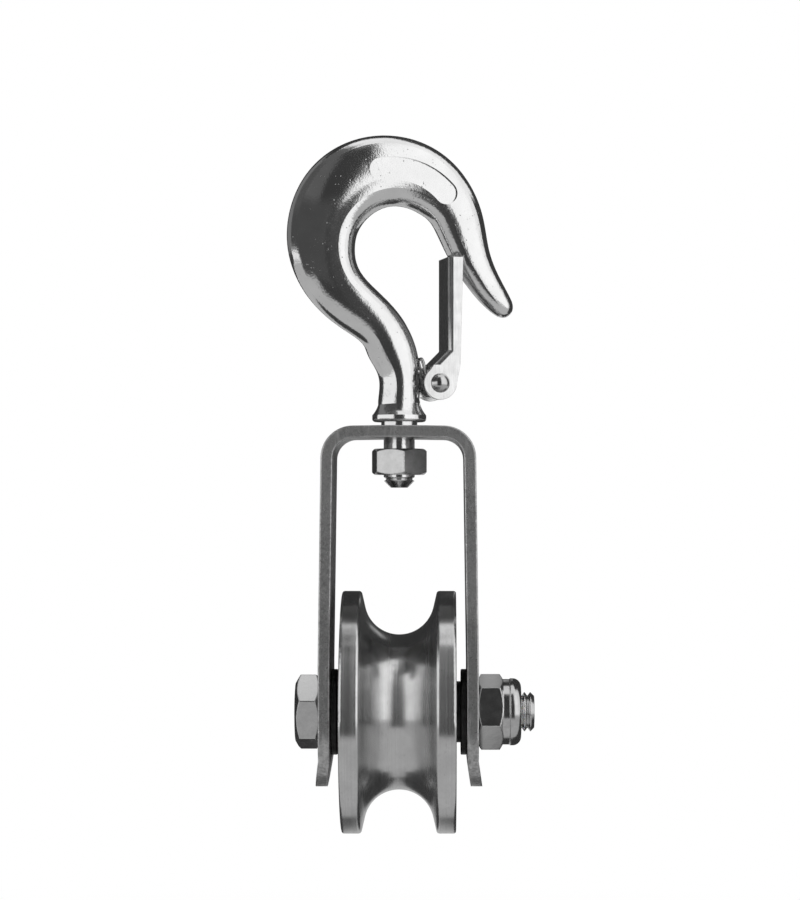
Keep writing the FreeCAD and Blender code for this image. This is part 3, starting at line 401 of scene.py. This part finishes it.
def bearing_steel():
    """Ground bearing rings: clean and bright with a fine grinding grain, and edges painted lighter partly as wear
    and partly as a painted highlight.
    """
    steel = Finish("bearing_steel", 1.0, 0.14)
    rounded, worn_and_glint = steel.soft_edge(0.15 * MM)
    grain = steel.noise(0.12 * MM, detail=2)
    patch = steel.noise(2.5 * MM, detail=3)
    shade = steel.mix(steel.spread(patch, 0.3, 0.7), grey(0.62), grey(0.7))
    # Edges painted lighter: partly wear, partly a painted highlight
    shade = steel.mix(worn_and_glint, shade, grey(0.85))
    rough = steel.spread(patch, 0.3, 0.7, 0.1, 0.18)
    return steel.finish(shade, rough, steel.bump(grain, 0.003 * MM, 0.6, rounded))


def ball_steel():
    """Polished bearing balls."""
    steel = Finish("ball_steel", 1.0, 0.05)
    patch = steel.noise(1.5 * MM, detail=2)
    shade = steel.mix(steel.spread(patch, 0.3, 0.7), grey(0.7), grey(0.76))
    return steel.finish(shade, steel.spread(patch, 0.3, 0.7, 0.04, 0.08))


def cage_steel():
    """Pressed sheet of the ball cages, a little dull."""
    steel = Finish("cage_steel", 1.0, 0.34)
    patch = steel.noise(0.8 * MM, detail=3)
    shade = steel.mix(steel.spread(patch, 0.3, 0.7), grey(0.4), grey(0.52))
    rough = steel.spread(patch, 0.3, 0.7, 0.28, 0.42)
    return steel.finish(shade, rough, steel.bump(patch, 0.02 * MM, 0.5))


def seal_rubber():
    """Black moulded seals with a faint grain and dust."""
    rubber = Finish("seal_rubber", 0.0, 0.55)
    grain = rubber.noise(0.3 * MM, detail=3)
    dust = rubber.noise(2 * MM, detail=4)
    shade = rubber.mix(rubber.spread(dust, 0.4, 0.75, 0.0, 0.4), grey(0.016), grey(0.06))
    rough = rubber.spread(grain, 0.3, 0.7, 0.48, 0.64)
    return rubber.finish(shade, rough, rubber.bump(grain, 0.015 * MM, 0.6))


def nylon_insert():
    """Off-white nylon ring of the lock nut, slightly see-through at the edge."""
    nylon = Finish("nylon_insert", 0.0, 0.4)
    cloud = nylon.noise(1.2 * MM, detail=3)
    shade = nylon.mix(nylon.spread(cloud, 0.3, 0.7), grey(0.62, 0.03), grey(0.74, 0.03))
    nylon.shader.inputs["Subsurface Weight"].default_value = 0.2
    nylon.shader.inputs["Subsurface Scale"].default_value = 0.5 * MM
    rough = nylon.spread(cloud, 0.3, 0.7, 0.34, 0.46)
    return nylon.finish(shade, rough, nylon.bump(cloud, 0.03 * MM, 0.4))


def centre(node):
    """The middle of a node's box."""
    low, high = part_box(node)
    return (low + high) / 2


def dress_all():
    """Give every node the finish of the slot that the record names for it."""
    for node in frame["nodes"].values():
        node.data.materials.clear()
    for plain in list(bpy.data.materials):
        bpy.data.materials.remove(plain)
    axle = centre("wheel")
    finishes = {
        "cast_stainless": cast_stainless(),
        "bright_fastener": bright_fastener(),
        "pressed_stainless": pressed_stainless(),
        "spring_wire": spring_wire(),
        "mill_steel": mill_steel(),
        "turned_steel": turned_steel(axle.z),
        "black_steel": black_steel(),
        "bearing_steel": bearing_steel(),
        "ball_steel": ball_steel(),
        "cage_steel": cage_steel(),
        "seal_rubber": seal_rubber(),
        "nylon_insert": nylon_insert(),
    }
    for part in frame["record"]["subparts"]:
        frame["nodes"][part["node"]].data.materials.append(finishes[part["material_slot"]])
    return finishes


def wire_mesh(name, path, material):
    """A round wire along a path, closed at both ends, as a mesh."""
    curve = bpy.data.curves.new(name, "CURVE")
    curve.dimensions = "3D"
    curve.bevel_depth = SPRING_WIRE / 2
    curve.bevel_resolution = WIRE_SIDES // 4
    curve.use_fill_caps = True
    line = curve.splines.new("POLY")
    line.points.add(len(path) - 1)
    for point, place in zip(line.points, path):
        point.co = (*place, 1)
    shaper = bpy.data.objects.new(name, curve)
    bpy.context.scene.collection.objects.link(shaper)
    bpy.context.view_layer.update()
    shaped = shaper.evaluated_get(bpy.context.evaluated_depsgraph_get())
    mesh = bpy.data.meshes.new_from_object(shaped)
    bpy.data.objects.remove(shaper)
    bpy.data.curves.remove(curve)
    mesh.materials.clear()
    mesh.materials.append(material)
    for face in mesh.polygons:
        face.use_smooth = True
    wire = bpy.data.objects.new(name, mesh)
    bpy.context.scene.collection.objects.link(wire)
    return wire


def corner(before, at, after, radius, steps=6):
    """Points of a rounded corner of a wire's path."""
    start = at + (before - at).normalized() * radius
    end = at + (after - at).normalized() * radius
    points = []
    for step in range(steps + 1):
        share = step / steps
        points.append(start.lerp(at, share).lerp(at.lerp(end, share), share))
    return points


def make_spring(material):
    """The latch spring in three pieces: a bridge on the neck, and a coil and leg on each side."""
    pivot = next(joint for joint in frame["joints"] if joint["name"] == "latch_open")
    out = -Vector(pivot["axis"]).normalized()
    up = Vector((0, 0, 1))
    across = out.cross(up)
    place = Matrix((across, out, up)).transposed().to_4x4()
    place.translation = Vector(pivot["pos_m"])
    coil = SPRING_COIL / 2
    angle_end = math.pi + 2 * math.pi * SPRING_TURNS

    def half(side):
        """The neck arm, the coil and the leg of one side; side is -1 at the front."""
        arm_top = Vector((SPRING_NECK, side * SPRING_OUT, SPRING_BRIDGE))
        coil_start = Vector((-coil, side * SPRING_OUT, 0))
        middle = Vector((SPRING_NECK, 0, SPRING_BRIDGE))
        path = corner(middle, arm_top, coil_start, SPRING_CORNER)
        for step in range(COIL_STEPS + 1):
            turned = SPRING_TURNS * step / COIL_STEPS
            angle = math.pi + 2 * math.pi * turned
            depth = side * (SPRING_OUT + SPRING_PITCH * turned)
            path.append(Vector((coil * math.cos(angle), depth, coil * math.sin(angle))))
        tangent = Vector((-math.sin(angle_end), 0, math.cos(angle_end)))
        path.append(path[-1] + tangent * SPRING_LEG)
        return path

    front = half(-1)
    back = half(1)
    bridge = [place @ front[0], place @ back[0]]
    pieces = [wire_mesh("latch_spring_bridge", bridge, material)]
    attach(pieces[0], "hook")
    for name, path, side in (("latch_spring_front", front, -1), ("latch_spring_back", back, 1)):
        wire = wire_mesh(name, [place @ spot for spot in path], material)
        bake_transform(wire)
        pieces.append(wire)
    for wire in pieces:
        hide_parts("latch_spring")


def stage_mesh(name, corners, faces, material):
    """A mesh of the studio, which is no piece of the pulley."""
    mesh = bpy.data.meshes.new(name)
    mesh.from_pydata(corners, [], faces)
    mesh.materials.append(material)
    thing = bpy.data.objects.new(name, mesh)
    bpy.context.scene.collection.objects.link(thing)
    return thing


def make_floor():
    """A plain pale floor under the hanging pulley, which fades to white away from it."""
    pale = Shading(bpy.data.materials.new("pale_floor"))
    plain = pale.nodes["Principled BSDF"]
    plain.inputs["Base Color"].default_value = grey(FLOOR_SHADE)
    plain.inputs["Roughness"].default_value = FLOOR_ROUGH
    glow = pale.node("ShaderNodeEmission")
    place = pale.node("ShaderNodeTexCoord")
    away = pale.node("ShaderNodeVectorMath", operation="LENGTH")
    pale.feed(away.inputs[0], place.outputs["Object"])
    fade = pale.spread(away.outputs["Value"], *FLOOR_FADE, smooth=True)
    pale.join(pale.white_seen(fade), plain.outputs["BSDF"], glow.outputs["Emission"])
    half = FLOOR_HALF
    corners = [(-half, -half, 0), (half, -half, 0), (half, half, 0), (-half, half, 0)]
    floor = stage_mesh("floor", corners, [(0, 1, 2, 3)], pale.owner)
    floor.location.z = cad_low.z - FLOOR_DROP


def make_world():
    """An even white world, seen at a strength of one, that fills the shade a little less."""
    world = bpy.data.worlds.new("studio")
    bpy.context.scene.world = world
    air = Shading(world)
    fill = air.nodes["Background"]
    fill.inputs["Color"].default_value = grey(1.0)
    fill.inputs["Strength"].default_value = WORLD_FILL
    white = air.node("ShaderNodeBackground")
    white.inputs["Color"].default_value = grey(1.0)
    air.join(air.white_seen(1.0), fill.outputs["Background"], white.outputs["Background"])


def direction(azimuth, elevation):
    """Unit vector from the pulley: azimuth 0 is towards the camera, 90 to its right."""
    turn = math.radians(azimuth)
    lift = math.radians(elevation)
    level = math.cos(lift)
    return Vector((math.sin(turn) * level, -math.cos(turn) * level, math.sin(lift)))


def show_in_gloss_alone(card):
    """Hide a card from the camera and from every ray but those of gloss."""
    card.visible_camera = False
    card.visible_diffuse = False
    card.visible_shadow = False
    card.visible_transmission = False


def card_shade(name, shade):
    """A glow of the given strength, let through where the card's cover is thin."""
    card = Shading(bpy.data.materials.new(name))
    glow = card.node("ShaderNodeEmission")
    glow.inputs["Color"].default_value = grey(shade)
    cover = card.node("ShaderNodeAttribute", attribute_name="cover")
    clear = card.node("ShaderNodeBsdfTransparent")
    card.join(cover.outputs["Fac"], clear.outputs["BSDF"], glow.outputs["Emission"])
    return card.owner


def stage_card(name, corners, covers, faces, shade):
    """A card that shows in the pulley's gloss alone, as dense at each corner as its cover."""
    card = stage_mesh(name, corners, faces, card_shade(name, shade))
    layer = card.data.attributes.new("cover", "FLOAT", "POINT")
    layer.data.foreach_set("value", covers)
    show_in_gloss_alone(card)
    return card


def make_card(name, azimuths, elevations, shade, middle, away):
    """A curved card with soft edges, between two azimuths and two elevations round a point."""
    left, right = azimuths
    low, high = elevations
    columns = math.ceil((right - left) / CARD_CELL)
    rows = math.ceil((high - low) / CARD_CELL)
    corners = []
    covers = []
    faces = []
    for row in range(rows + 1):
        lift = low + (high - low) * row / rows
        for column in range(columns + 1):
            turn = left + (right - left) * column / columns
            corners.append(direction(turn, lift) * away)
            inside = min(turn - left, right - turn, lift - low, high - lift)
            covers.append(min(1.0, inside / CARD_SOFT))
    for row in range(rows):
        for column in range(columns):
            first = row * (columns + 1) + column
            above = first + columns + 1
            faces.append((first, first + 1, above + 1, above))
    card = stage_card(name, corners, covers, faces, shade)
    card.location = middle


def make_floor_card():
    """A round card just over the floor, so that the gloss sees the floor as a plain grey."""
    sides = FLOOR_CARD_SIDES
    rim = []
    for step in range(sides):
        turn = 2 * math.pi * step / sides
        rim.append((FLOOR_CARD_RADIUS * math.cos(turn), FLOOR_CARD_RADIUS * math.sin(turn), 0))
    card = stage_card("card_floor", rim, [1.0] * sides, [tuple(range(sides))], FLOOR_CARD_SHADE)
    card.location.z = cad_low.z - FLOOR_DROP + FLOOR_CARD_LIFT


def make_lamp(name, azimuth, elevation, wide, tall, power, away, middle):
    """A soft box aimed at the pulley. The cards take its place in the gloss."""
    data = bpy.data.lights.new(name, "AREA")
    data.shape = "RECTANGLE"
    data.size = wide
    data.size_y = tall
    data.energy = power
    lamp = bpy.data.objects.new(name, data)
    bpy.context.scene.collection.objects.link(lamp)
    towards = direction(azimuth, elevation)
    lamp.location = middle + towards * away
    lamp.rotation_mode = "QUATERNION"
    lamp.rotation_quaternion = towards.to_track_quat("Z", "Y")
    lamp.visible_glossy = False


def make_studio():
    """Floor, world, soft boxes and the cards, dark and bright, that polished steel reflects."""
    make_floor()
    make_world()
    hook = centre("hook")
    wheel = centre("wheel")
    throat = Vector(THROAT)
    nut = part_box("lock_nut")[0]
    middle = (cad_low + cad_high) / 2
    make_floor_card()
    # Name, azimuths, elevations, shade, centre and distance. Azimuth 0 is towards the camera.
    for card in (
        ("card_front", (-24, 19), (-22, 70), 0.05, wheel, 0.5),
        ("card_front_hook", (-17, 24), (-31, 64), 0.05, hook, 0.45),
        ("card_overhead", (-60, 60), (68, 90), 0.95, middle, 0.57),
        ("card_back_left", (-188, -103), (-62, 73), 0.04, middle, 1.3),
        ("card_back_right", (108, 188), (-62, 73), 0.05, middle, 1.32),
        ("card_low_left", (-171, -92), (-78, -2), 0.05, wheel, 0.15),
        ("card_low_right", (92, 171), (-78, -2), 0.05, wheel, 0.15),
        ("card_hook", (-64, -9), (-6, 44), 0.075, hook, 0.055),
        ("card_hook_top", (-98, -18), (26, 78), 0.12, hook, 0.13),
        ("card_hook_left", (-94, -48), (1, 62), 0.075, hook, 0.13),
        ("card_hook_edge", (-132, -88), (1, 60), 0.2, hook, 0.131),
        ("card_hook_right", (86, 130), (-30, 40), 0.05, hook, 0.08),
        ("card_throat", (20, 48), (-35, 20), 0.06, throat, 0.05),
        ("card_nut", (171, 182), (27, 52), 0.5, nut, 0.11),
        ("card_soft_box", (22, 75), (-12, 60), 1.17, middle, 1.0),
    ):
        make_card(*card)
    # Name, azimuth, elevation, width, height, watts and distance
    for lamp in (
        ("left_box", -50, 20, 0.9, 0.9, 14, 1.1),
        ("right_box", 82, 15, 0.6, 0.9, 10, 1.1),
        ("top_box", 0, 80, 0.7, 0.35, 9, 1.0),
    ):
        make_lamp(*lamp, middle)


def make_camera():
    """The photograph's level view along +Y, shifted to its frame."""
    data = bpy.data.cameras.new("camera")
    data.sensor_width = SENSOR
    data.lens = CAMERA_AWAY / PIXEL / FRAME_TALL * SENSOR
    data.shift_x = (FRAME_WIDE / 2 - VANISHING_PIXEL[0]) / FRAME_TALL
    data.shift_y = (VANISHING_PIXEL[1] - FRAME_TALL / 2) / FRAME_TALL
    data.clip_start = CAMERA_CLIP
    camera = bpy.data.objects.new("camera", data)
    bpy.context.scene.collection.objects.link(camera)
    camera.location = ((VANISHING_PIXEL[0] - SEAT_PIXEL[0]) * PIXEL, -CAMERA_AWAY,
                       (SEAT_PIXEL[1] - VANISHING_PIXEL[1]) * PIXEL)
    camera.rotation_euler = (math.radians(90), 0, 0)
    bpy.context.scene.camera = camera


finishes = dress_all()
make_spring(finishes["spring_wire"])
make_studio()
make_camera()
bpy.context.scene.view_settings.view_transform = "Standard"
